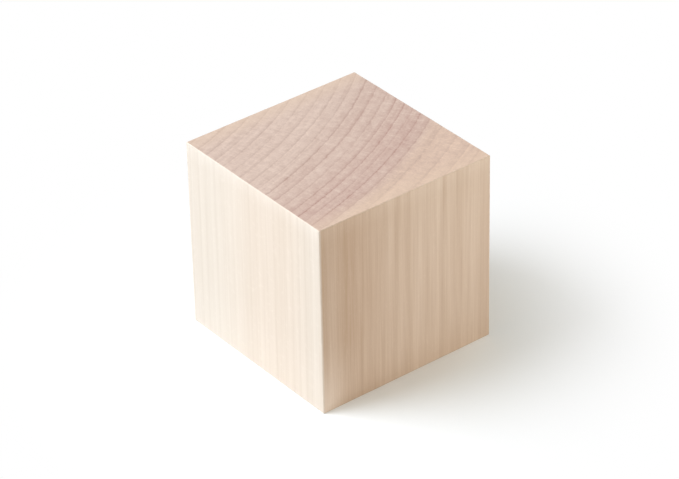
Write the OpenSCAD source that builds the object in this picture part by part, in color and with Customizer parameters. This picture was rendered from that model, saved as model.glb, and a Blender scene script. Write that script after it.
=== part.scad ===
// A plain cube of pale hardwood, sawn off a planed square strip and sanded on its edges.
// Millimetres. The origin is the centre of the bottom face, and +Z runs up along the grain,
// so the end grain is on the top and bottom faces.

/* [Block] */
// Side of the square section that the strip is planed to
planed_side = 50.8; // [20:0.1:100]
// Length sawn off the strip along the grain, equal to planed_side on a true cube
sawn_length = 50.8; // [20:0.1:100]

/* [Edges] */
// Radius that the edges and corners are sanded to
edge_radius = 0.3; // [0.2:0.1:8]

/* [Hidden] */
// Distance from the block's middle to the centre line of an edge rounding
side_reach = planed_side / 2 - edge_radius;
end_reach = sawn_length / 2 - edge_radius;
rounding_sides = 64;
bare_wood = [0.85, 0.77, 0.70];

// The three slabs that reach the flat part of each pair of faces
module flat_slabs() {
    cube([planed_side, 2 * side_reach, 2 * end_reach], center = true);
    cube([2 * side_reach, planed_side, 2 * end_reach], center = true);
    cube([2 * side_reach, 2 * side_reach, sawn_length], center = true);
}

// One rounded edge, as a rod on its centre line along Z
module edge_rod(half_length) {
    cylinder(h = 2 * half_length, r = edge_radius, center = true, $fn = rounding_sides);
}

// The four edges along the grain
module long_edges() {
    for (x = [-side_reach, side_reach], y = [-side_reach, side_reach])
        translate([x, y, 0])
            edge_rod(end_reach);
}

// The eight edges round the two sawn ends
module end_edges() {
    for (turn = [0, 90], x = [-side_reach, side_reach], z = [-end_reach, end_reach])
        rotate([0, 0, turn])
            translate([x, 0, z])
                rotate([90, 0, 0])
                    edge_rod(side_reach);
}

// The eight corners
module corners() {
    for (x = [-side_reach, side_reach], y = [-side_reach, side_reach], z = [-end_reach, end_reach])
        translate([x, y, z])
            sphere(r = edge_radius, $fn = rounding_sides);
}

// The whole object: one solid block of wood, with nothing in it and nothing on it
module wooden_cube() {
    color(bare_wood)
        translate([0, 0, sawn_length / 2])
            union() {
                flat_slabs();
                long_edges();
                end_edges();
                corners();
            }
}

wooden_cube();
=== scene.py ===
import math

import bpy
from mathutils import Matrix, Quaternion, Vector


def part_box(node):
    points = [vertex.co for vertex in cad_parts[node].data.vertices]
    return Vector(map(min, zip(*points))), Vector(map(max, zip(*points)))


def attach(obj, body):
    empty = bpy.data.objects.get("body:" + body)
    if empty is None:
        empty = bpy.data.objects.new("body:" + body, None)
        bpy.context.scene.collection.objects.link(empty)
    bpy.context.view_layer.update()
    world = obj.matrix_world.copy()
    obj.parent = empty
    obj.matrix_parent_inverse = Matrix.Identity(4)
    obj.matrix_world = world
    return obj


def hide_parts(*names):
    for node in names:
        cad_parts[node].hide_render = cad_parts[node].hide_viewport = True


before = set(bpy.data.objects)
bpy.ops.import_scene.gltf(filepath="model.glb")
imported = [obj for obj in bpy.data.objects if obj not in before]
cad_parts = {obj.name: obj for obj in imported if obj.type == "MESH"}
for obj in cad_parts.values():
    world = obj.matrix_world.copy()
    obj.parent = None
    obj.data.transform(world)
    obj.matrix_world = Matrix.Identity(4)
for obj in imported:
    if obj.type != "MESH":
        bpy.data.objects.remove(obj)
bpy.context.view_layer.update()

# ------------------------------------------------------------------------------------------
# The cube. One solid block of pale, close-grained hardwood, crosscut from a planed square
# strip, so the grain stands upright and the end grain is on the top and bottom. The faces
# are sanded, the edges are eased by hand, and nothing is put on the wood.
# ------------------------------------------------------------------------------------------
low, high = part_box("wooden_cube")
MM = 0.001
half_side = (high.x - low.x) / 2 / MM
block_height = (high.z - low.z) / MM
edge_radius = 0.3 * MM
edge_wander = 0.05 * MM     # how much deeper the sandpaper bit in some places along an edge
ring_relief = 0.015 * MM    # how far the soft early wood is sanded below the hard late wood
cells_to_a_side = 120
cells_round_an_edge = 6     # from the flat of a face to the middle of its edge

# The tree it came from, in millimetres and years. Its pith lay well outside the block and leaned
# a little. It grew slowly for a while and then fast, so the rings close up and open out again.
ring_width = 3.1
first_year = 59.72          # the year count at the pith: where each ring falls, and which shade it draws
pith_x, pith_y = -122.7, -56.5
pith_lean_x, pith_lean_y = 0.014, -0.010
pith_distance = math.hypot(pith_x, pith_y)
slow_wood, slow_gain = (138.0, 150.5), 0.8      # how far out it lay, and the years more it holds
fast_wood, fast_loss = (150.5, 163.0), 1.0      # the same for the fast wood, and the years fewer
ragged_years = 0.24         # how far a ring strays from round
grain_drift = 2.5           # how far the grain strays from straight


class Sum:
    """A value in a node tree. Python's sums on it add Math nodes, or Vector Math for a vector."""

    def __init__(self, tree, socket=None):
        self.tree = tree
        self.socket = socket

    def node(self, kind, settings=None, values=None, output=None):
        """Adds any node: its settings are set first, then its inputs, by name or by place."""
        made = self.tree.nodes.new(kind)
        for name, setting in (settings or {}).items():
            setattr(made, name, setting)
        for name, value in (values or {}).items():
            if isinstance(name, int):
                socket = made.inputs[name]
            else:
                socket = next(s for s in made.inputs if s.name == name and s.enabled)
            if isinstance(value, Sum):
                self.tree.links.new(value.socket, socket)
            elif socket.type == "VECTOR" and isinstance(value, (int, float)):
                socket.default_value = (value, value, value)
            else:
                socket.default_value = value
        found = [s for s in made.outputs if s.enabled and output in (None, s.name)]
        return Sum(self.tree, found[0] if found else None)

    def math(self, operation, *terms):
        """Any other sum of these terms, named as the Math node names it."""
        kinds = [t.socket.type if isinstance(t, Sum) else type(t).__name__ for t in terms]
        vectors = "VECTOR" in kinds or "tuple" in kinds
        kind = "ShaderNodeVectorMath" if vectors else "ShaderNodeMath"
        return self.node(kind, {"operation": operation}, dict(enumerate(terms)))

    def __add__(self, other):
        return self.math("ADD", self, other)

    __radd__ = __add__

    def __mul__(self, other):
        return self.math("MULTIPLY", self, other)

    __rmul__ = __mul__

    def __sub__(self, other):
        return self.math("SUBTRACT", self, other)

    def __rsub__(self, other):
        return self.math("SUBTRACT", other, self)

    def __truediv__(self, other):
        return self.math("DIVIDE", self, other)

    def __pow__(self, other):
        return self.math("POWER", self, other)

    def xyz(self):
        """The three numbers in a vector."""
        parts = self.node("ShaderNodeSeparateXYZ", values={"Vector": self}).socket.node.outputs
        return [Sum(self.tree, part) for part in parts]

    def vector(self, x, y, z):
        return self.node("ShaderNodeCombineXYZ", values={"X": x, "Y": y, "Z": z})

    def noise(self, place, seed, detail=2.0, output="Fac"):
        """Smooth noise from 0 to 1, whose lumps are about a unit across."""
        values = {"Vector": place, "W": seed, "Scale": 1.0, "Detail": detail, "Roughness": 0.5}
        return self.node("ShaderNodeTexNoise", {"noise_dimensions": "4D"}, values, output)

    def ramp(self, start, end, first=0.0, last=1.0):
        """Goes smoothly from first to last as the value goes from start to end."""
        values = {"Value": self, "From Min": start, "From Max": end, "To Min": first, "To Max": last}
        return self.node("ShaderNodeMapRange", {"interpolation_type": "SMOOTHSTEP"}, values)

    def between(self, first, second):
        """The colour this share of the way from the first colour to the second, or past it."""
        kind = {"data_type": "RGBA", "clamp_factor": False}
        return self.node("ShaderNodeMix", kind, {"Factor": self, "A": first, "B": second})


def growth(place):
    """Where a place in the block, in millimetres, lay in the tree: its year, counted in rings
    from the pith, how far out it was, how far round at the block's middle, and its height."""
    drift = place.noise(place * (0.012, 0.012, 0.004), seed=3.0, detail=1.0, output="Color")
    drift = drift.math("SUBTRACT", drift, (0.5, 0.5, 0.5)) * (grain_drift, grain_drift, 0.0)
    x, y, z = (place + drift).xyz()
    out_x = x - pith_x - z * pith_lean_x
    out_y = y - pith_y - z * pith_lean_y
    out = (out_x * out_x + out_y * out_y) ** 0.5
    round_pith = out.math("ARCTAN2", out_y, out_x) * pith_distance
    ragged = place.noise(place * (0.8, 0.8, 0.008), seed=9.0)
    gained = out.ramp(*slow_wood, 0.0, slow_gain) - out.ramp(*fast_wood, 0.0, fast_loss)
    year = out / ring_width + first_year + gained + (ragged - 0.5) * ragged_years
    return year, out, round_pith, z


def late_wood(year):
    """The thin dense line that ends each year, from 0 in the early wood to 1 on the line."""
    season = year.math("FRACT", year)
    slow = season.ramp(0.25, 0.95)
    quick = season.ramp(0.78, 0.94)
    return (slow * slow * 0.5 + quick * 0.5) * season.ramp(0.95, 1.0, 1.0, 0.0)


def srgb(red, green, blue):
    """A colour as it is read off a swatch, from 0 to 255."""
    parts = [part / 255 for part in (red, green, blue)]
    linear = [p / 12.92 if p <= 0.04045 else ((p + 0.055) / 1.055) ** 2.4 for p in parts]
    return (*linear, 1.0)


def bare_wood():
    """Pale hardwood with nothing on it. The pattern goes right through the block, so that the
    rings on the end grain run on down the sides as streaks."""
    material = bpy.data.materials.new("bare sanded hardwood")
    material.use_nodes = True
    tree = material.node_tree
    start = Sum(tree)
    place = start.node("ShaderNodeTexCoord", output="Object") / MM
    ends = start.node("ShaderNodeAttribute", {"attribute_name": "end_grain"}, output="Fac")
    arris = start.node("ShaderNodeAttribute", {"attribute_name": "arris"}, output="Fac")
    year, out, round_pith, up = growth(place)
    across, depth, height = place.xyz()

    # Each year differs a little in its tone and in how dark its line is.
    number = year.math("FLOOR", year)
    one_number = {"noise_dimensions": "1D"}
    tone = year.node("ShaderNodeTexWhiteNoise", one_number, {"W": number}, "Value")
    weight = year.node("ShaderNodeTexWhiteNoise", one_number, {"W": number + 0.5}, "Value")
    line = late_wood(year)
    dark_years = line * (0.30 + 0.28 * weight * weight) + (tone - 0.5) * 0.06

    # Soft bands follow the rings, and a fine mottle and wide faint patches lie over them.
    along_ring = round_pith * 0.05
    up_grain = up * 0.003
    end_bands = place.noise(place.vector(out * 1.1, along_ring, up_grain), seed=21.0, detail=3.0)
    side_bands = place.noise(place.vector(out * 0.8, along_ring, up_grain), seed=22.0, detail=3.0)
    mottle = place.noise(place * (0.6, 0.6, 0.025), seed=13.0, detail=2.0)
    patches = place.noise(place * (0.055, 0.055, 0.010), seed=12.0, detail=1.0)

    # Fibres and pores run up the grain: dots on the ends, and long fine dashes on the sides.
    fibres = place.noise(place * (2.2, 2.2, 0.045), seed=5.0, detail=4.0)
    pores = place.noise(place * (5.0, 5.0, 0.25), seed=6.0, detail=1.0).ramp(0.62, 0.78)
    # Rays run out from the pith: hair lines on the ends, and small flecks on the sides.
    rays = place.noise(place.vector(round_pith * 3.0, out * 0.22, up * 0.8), seed=7.0, detail=1.0)
    rays = rays.ramp(0.55, 0.75)

    # How dark the wood is, from 0 at its light colour to 1 at its shade. The front side is lit
    # strongly by the key lamp, and its streaks are painted faint as strong light washes them out:
    # painted glare.
    front = depth.ramp(0.1 - half_side, 0.6 - half_side, 1.0, 0.0)
    streaks = dark_years * 0.5 + (side_bands - 0.5) * 1.4 + (mottle - 0.5) * 0.5 + (fibres - 0.5) * 0.7
    side_dark = 0.24 + streaks * (1.12 - front * 0.66) + pores * 0.16 - rays * 0.10
    figure = dark_years + (end_bands - 0.5) * 0.7 + (mottle - 0.5) * 0.8 + (fibres - 0.5) * 0.8
    end_dark = 0.186 + figure + pores * 0.25 - rays * 0.22

    # Some years are darker and pinker than the rest, and the wood outside them is yellower.
    outer = out.ramp(148.5, 153.0)
    pink_years = out.ramp(125.0, 134.0, 0.0, 0.6) + out.ramp(137.0, 143.0, 0.0, 0.4)
    end_pink = pink_years * (1.0 - outer)
    # On the brightly lit front the pink is painted faint too: painted glare.
    side_pink = pink_years * out.ramp(149.0, 161.0, 0.76, 0.0) * (1.0 - front * 0.94)
    side_pink = side_pink * depth.ramp(0.0, half_side, 1.0, 0.5)

    # The end grain is paler and yellower towards its edges with the right and left sides: partly
    # paler wood, and partly a painted highlight where the eased edge catches the light. The sides
    # are painted paler at their foot, most of all at the front right corner, as painted bounce light
    # from the floor, and paler at their head, a painted highlight below the eased top edge. The
    # front is painted whiter towards both its edges: painted glare.
    rim_pale_and_highlight = across.math("ABSOLUTE", across).ramp(18.0, half_side, 0.0, 0.38)
    # Painted bounce light from the floor, strongest at the front right corner of the sides.
    corner_bounce_light = depth.ramp(-half_side, -10.0, 0.75, 0.0) * across.ramp(10.0, half_side) * (1.0 - front)
    foot_bounce_light = height.ramp(0.0, 21.0, 1.0, 0.0) * (0.12 + corner_bounce_light)
    # A painted highlight at the head of the sides, just below the eased top edge.
    head_highlight = height.ramp(46.0, block_height, 0.0, 0.20)
    # Painted glare: the brightly lit front is painted whiter towards both its edges.
    front_glare = front * (across.ramp(-18.0, 4.0, 0.19, 0.0) + across.ramp(12.0, 24.0, 0.0, 0.14))
    patch = (patches - 0.5) * 0.25

    side_light = outer.between(srgb(226, 211, 194), srgb(227, 210, 190))
    side_shade = outer.between(srgb(196, 175, 151), srgb(198, 174, 149))
    side = (side_dark + side_pink + patch - foot_bounce_light - head_highlight).between(side_light, side_shade)
    side = front_glare.between(side, srgb(220, 222, 214))
    end_light = outer.between(srgb(225, 201, 185), srgb(226, 198, 177))
    end_shade = end_pink.between(srgb(189, 161, 146), srgb(189, 153, 140))
    end = (end_dark + end_pink * 0.22 + patch).between(end_light, end_shade)
    # Paler, yellower wood near these edges, and a painted highlight where the eased edge catches the
    # light.
    end = rim_pale_and_highlight.between(end, srgb(236, 209, 181))
    colour = ends.between(side, end)
    # The eased edges are paler: partly paler sanded wood, partly a painted highlight along them.
    sanded = (arris * 0.5).between(colour, srgb(240, 222, 199))

    roughness = 0.56 + ends * 0.12 + (fibres - 0.5) * 0.20
    relief = line * 0.5 + (fibres - 0.5) * 1.2 - pores * 0.8
    bump = {"Strength": 0.5, "Distance": 0.03 * MM, "Height": relief}
    normal = relief.node("ShaderNodeBump", values=bump)
    shader = tree.nodes["Principled BSDF"]
    tree.links.new(sanded.socket, shader.inputs["Base Color"])
    tree.links.new(roughness.socket, shader.inputs["Roughness"])
    tree.links.new(normal.socket, shader.inputs["Normal"])
    shader.inputs["Specular IOR Level"].default_value = 0.35
    return material


def block_tree():
    """Nodes that make the block, with its eased edges, its sanding and its bake map."""
    tree = bpy.data.node_groups.new("sawn block", "GeometryNodeTree")
    sizes = ("planed side", "sawn length", "edge radius", "edge wander", "ring relief", "seed")
    counts = ("cells to a side", "cells round an edge")
    for name in sizes:
        tree.interface.new_socket(name, in_out="INPUT", socket_type="NodeSocketFloat")
    for name in counts:
        tree.interface.new_socket(name, in_out="INPUT", socket_type="NodeSocketInt")
    tree.interface.new_socket("wood", in_out="INPUT", socket_type="NodeSocketMaterial")
    tree.interface.new_socket("block", in_out="OUTPUT", socket_type="NodeSocketGeometry")
    given = tree.nodes.new("NodeGroupInput")
    side, length, radius, wander, relief, seed, cells, edge_cells, wood = (
        Sum(tree, given.outputs[name]) for name in (*sizes, *counts, "wood")
    )

    # A grid on a cube from -1 to 1. The outer cells of each face are kept for the edges.
    points = cells + 1
    counted = {"Size": 2.0, "Vertices X": points, "Vertices Y": points, "Vertices Z": points}
    block = side.node("GeometryNodeMeshCube", values=counted)
    place = side.node("GeometryNodeInputPosition")
    sign = place.math("SIGN", place)
    share = place.math("ABSOLUTE", place)
    flat_share = 1.0 - 2.0 * (edge_cells / cells)
    over_flat = share.math("MINIMUM", share / flat_share, (1.0, 1.0, 1.0))
    over_edge = (share - flat_share) / (1.0 - flat_share)
    over_edge = over_edge.math("MAXIMUM", over_edge, (0.0, 0.0, 0.0))

    # Each point stands one radius out from the nearest point of a smaller, sharp block.
    eighth_turn = math.pi / 4
    inner = side.vector(side / 2 - radius, side / 2 - radius, length / 2 - radius)
    slopes = [part.math("TANGENT", part * eighth_turn) for part in over_edge.xyz()]
    outward = sign * place.vector(*slopes)
    outward = outward.math("NORMALIZE", outward)
    stands = sign * over_flat * inner + outward * radius + side.vector(0.0, 0.0, length / 2)

    # The edges wander where they were sanded by hand, and the early wood is sanded lower.
    across, depth, up = outward.math("ABSOLUTE", outward).xyz()
    nearest = up.math("MAXIMUM", up, across.math("MAXIMUM", across, depth))
    arris = (1.0 - nearest) / (1.0 - math.cos(eighth_turn))
    millimetres = stands / MM
    bite = place.noise(millimetres * 0.16, seed=seed).ramp(0.3, 0.7)
    early_wood = 1.0 - late_wood(growth(millimetres)[0])
    sanded = arris * bite * wander + up.ramp(0.98, 1.0) * early_wood * relief

    # Which face each cell is on, and how far its corners lie across that face, from -1 to 1.
    run = sign * (over_flat * inner + over_edge * (radius * eighth_turn))
    run_x, run_y, run_z = (run / (inner + radius * eighth_turn)).xyz()
    on_face = {"data_type": "FLOAT_VECTOR", "domain": "FACE"}
    middle = place.node("GeometryNodeFieldOnDomain", on_face, {"Value": place}) * 1.001
    face_x, face_y, face_z = (part.math("TRUNC", part) for part in middle.xyz())
    on_end = face_z.math("ABSOLUTE", face_z)

    # The bake map has the two ends on its left half and the four sides stacked on its right.
    half_width, half_strip = 0.245, 0.12
    row = face_x * (face_x * 2.5 + 0.5) + face_y * (face_y * 0.5 + 0.5)
    run_across = face_x * run_y - face_y * run_x + on_end * run_x
    map_x = 0.75 - on_end * 0.5 + run_across * half_width
    side_y = 0.125 + row * 0.25 + run_z * half_strip
    end_y = 0.5 + face_z * (0.25 + run_y * half_width)
    bake_map = place.vector(map_x, (1.0 - on_end) * side_y + on_end * end_y, 0.0)

    # The attributes are kept while the points still lie on the plain grid they are read from.
    on_point = {"data_type": "FLOAT", "domain": "POINT"}
    on_corner = {"data_type": "FLOAT2", "domain": "CORNER"}
    for name, value, kind in (
        ("arris", arris, on_point),
        ("end_grain", up.ramp(0.90, 0.998), on_point),
        ("OFBake", bake_map, on_corner),
    ):
        kept = {"Geometry": block, "Name": name, "Value": value}
        block = block.node("GeometryNodeStoreNamedAttribute", kind, kept)
    moved = {"Geometry": block, "Position": stands - outward * sanded}
    block = block.node("GeometryNodeSetPosition", values=moved)
    block = block.node("GeometryNodeSetShadeSmooth", values={"Geometry": block})
    block = block.node("GeometryNodeRealizeInstances", values={"Geometry": block})
    block = block.node("GeometryNodeSetMaterial", values={"Geometry": block, "Material": wood})
    tree.links.new(block.socket, tree.nodes.new("NodeGroupOutput").inputs["block"])
    return tree


cube = bpy.data.objects.new("bare_wood_cube", bpy.data.meshes.new("bare wood cube"))
bpy.context.scene.collection.objects.link(cube)
sawn = cube.modifiers.new("sawn block", "NODES")
sawn.node_group = block_tree()
settings = {
    "planed side": high.x - low.x,
    "sawn length": high.z - low.z,
    "edge radius": edge_radius,
    "edge wander": edge_wander,
    "ring relief": ring_relief,
    "seed": 4.0,
    "cells to a side": cells_to_a_side,
    "cells round an edge": cells_round_an_edge,
    "wood": bare_wood(),
}
for item in sawn.node_group.interface.items_tree:
    if item.in_out == "INPUT":
        sawn[item.identifier] = settings[item.name]
graph = bpy.context.evaluated_depsgraph_get()
finished = bpy.data.meshes.new_from_object(
    cube.evaluated_get(graph), preserve_all_data_layers=True, depsgraph=graph
)
cube.modifiers.remove(sawn)
cube.data = finished
finished.materials.pop(index=0)     # the empty slot that the bare grid came with
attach(cube, "root")
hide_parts("wooden_cube")

# ------------------------------------------------------------------------------------------
# The floor. A plain white sheet that takes the cube's shadow, and that away from the cube
# shows as pure white, as the studio does all round. A painted glow, seen only by the camera
# and in reflections, lightens the shadow.
# ------------------------------------------------------------------------------------------
floor_half = 4.0
floor_white = 0.92
plain_white = (1.0, 1.0, 1.0, 1.0)
shadow_reach = (0.022, 0.088)   # how far out the lit sheet starts to pass into plain white, and ends
glow_colour = (0.74, 1.0, 0.91, 1.0)    # of the painted glow, seen only by the camera and in reflections, that lightens the shadow
glow_reach = (0.026, 0.036)             # how far out it starts to grow, and stops
glow_strength = (0.085, 0.12)           # close to the cube, and further out


def shown_rays(start):
    """1 for what the camera sees, straight or in a reflection, and 0 for what lights the cube."""
    camera_ray = start.node("ShaderNodeLightPath", output="Is Camera Ray")
    glossy_ray = start.node("ShaderNodeLightPath", output="Is Glossy Ray")
    through_ray = start.node("ShaderNodeLightPath", output="Is Transmission Ray")
    return camera_ray + glossy_ray + through_ray


def white_floor():
    material = bpy.data.materials.new("white floor")
    material.use_nodes = True
    tree = material.node_tree
    tree.nodes.clear()
    start = Sum(tree)
    seen = shown_rays(start)
    place = start.node("ShaderNodeTexCoord", output="Object")
    away = place.node("ShaderNodeVectorMath", {"operation": "LENGTH"}, {0: place}, "Value")
    plain = start.node("ShaderNodeEmission", values={"Color": plain_white, "Strength": 1.0})
    strength = seen * away.ramp(*glow_reach, *glow_strength)
    glow = start.node("ShaderNodeEmission", values={"Color": glow_colour, "Strength": strength})
    sheet_colour = (floor_white, floor_white, floor_white, 1.0)
    lit = start.node("ShaderNodeBsdfDiffuse", values={"Color": sheet_colour})
    lit = lit.node("ShaderNodeAddShader", values={0: lit, 1: glow})
    shown = seen * away.ramp(*shadow_reach)
    surface = lit.node("ShaderNodeMixShader", values={0: shown, 1: lit, 2: plain})
    tree.links.new(surface.socket, tree.nodes.new("ShaderNodeOutputMaterial").inputs["Surface"])
    return material


corners = [(x * floor_half, y * floor_half, 0.0) for x, y in ((-1, -1), (1, -1), (1, 1), (-1, 1))]
sheet = bpy.data.meshes.new("floor")
sheet.from_pydata(corners, [], [(0, 1, 2, 3)])
sheet.materials.append(white_floor())
floor = bpy.data.objects.new("floor", sheet)
bpy.context.scene.collection.objects.link(floor)

# ------------------------------------------------------------------------------------------
# The light. An even white studio, a big soft key lamp from the front left and a weak warm
# one from the right. The studio lights the cube faintly and shows as plain white behind it.
# ------------------------------------------------------------------------------------------
middle = (low + high) / 2
room_colour = (1.0, 0.99, 0.965, 1.0)
room_strength = 0.29


def soft_lamp(name, towards, distance, size, watts, colour):
    lamp = bpy.data.lights.new(name, "AREA")
    lamp.shape = "DISK"
    lamp.size = size
    lamp.energy = watts
    lamp.color = colour
    holder = bpy.data.objects.new(name, lamp)
    bpy.context.scene.collection.objects.link(holder)
    direction = Vector(towards).normalized()
    holder.location = middle + direction * distance
    holder.rotation_mode = "QUATERNION"
    holder.rotation_quaternion = direction.to_track_quat("Z", "Y")
    holder.visible_camera = False


soft_lamp(
    "key", towards=(-0.433, -0.654, 0.616), distance=1.0, size=0.8, watts=13.15, colour=(0.865, 0.92, 1.0)
)
soft_lamp(
    "fill", towards=(0.80, 0.55, 0.28), distance=0.5, size=0.3, watts=0.92, colour=(1.0, 0.79, 0.62)
)

world = bpy.data.worlds.new("studio")
bpy.context.scene.world = world
world.use_nodes = True
room_tree = world.node_tree
room = room_tree.nodes["Background"]
room.inputs["Color"].default_value = room_colour
room.inputs["Strength"].default_value = room_strength
start = Sum(room_tree)
seen = shown_rays(start)
lighting = Sum(room_tree, room.outputs["Background"])
shown = start.node("ShaderNodeBackground", values={"Color": plain_white, "Strength": 1.0})
surface = start.node("ShaderNodeMixShader", values={0: seen, 1: lighting, 2: shown})
room_tree.links.new(surface.socket, room_tree.nodes["World Output"].inputs["Surface"])

# ------------------------------------------------------------------------------------------
# The camera. A long lens that looks down on the cube's front corner from the front right,
# turned a little on its own axis.
# ------------------------------------------------------------------------------------------
azimuth = math.radians(52.29)
elevation = math.radians(33.06)
roll = math.radians(-1.3)
camera_distance = 0.795

lens = bpy.data.cameras.new("camera")
lens.sensor_width = 36.0
lens.lens = 177.0
lens.clip_start = 0.05
lens.clip_end = 20.0
camera = bpy.data.objects.new("camera", lens)
bpy.context.scene.collection.objects.link(camera)
level = math.cos(elevation)
back = Vector((math.sin(azimuth) * level, -math.cos(azimuth) * level, math.sin(elevation)))
camera.location = middle + back * camera_distance
camera.rotation_mode = "QUATERNION"
camera.rotation_quaternion = back.to_track_quat("Z", "Y") @ Quaternion((0, 0, 1), roll)
bpy.context.scene.camera = camera

bpy.context.scene.view_settings.view_transform = "Standard"
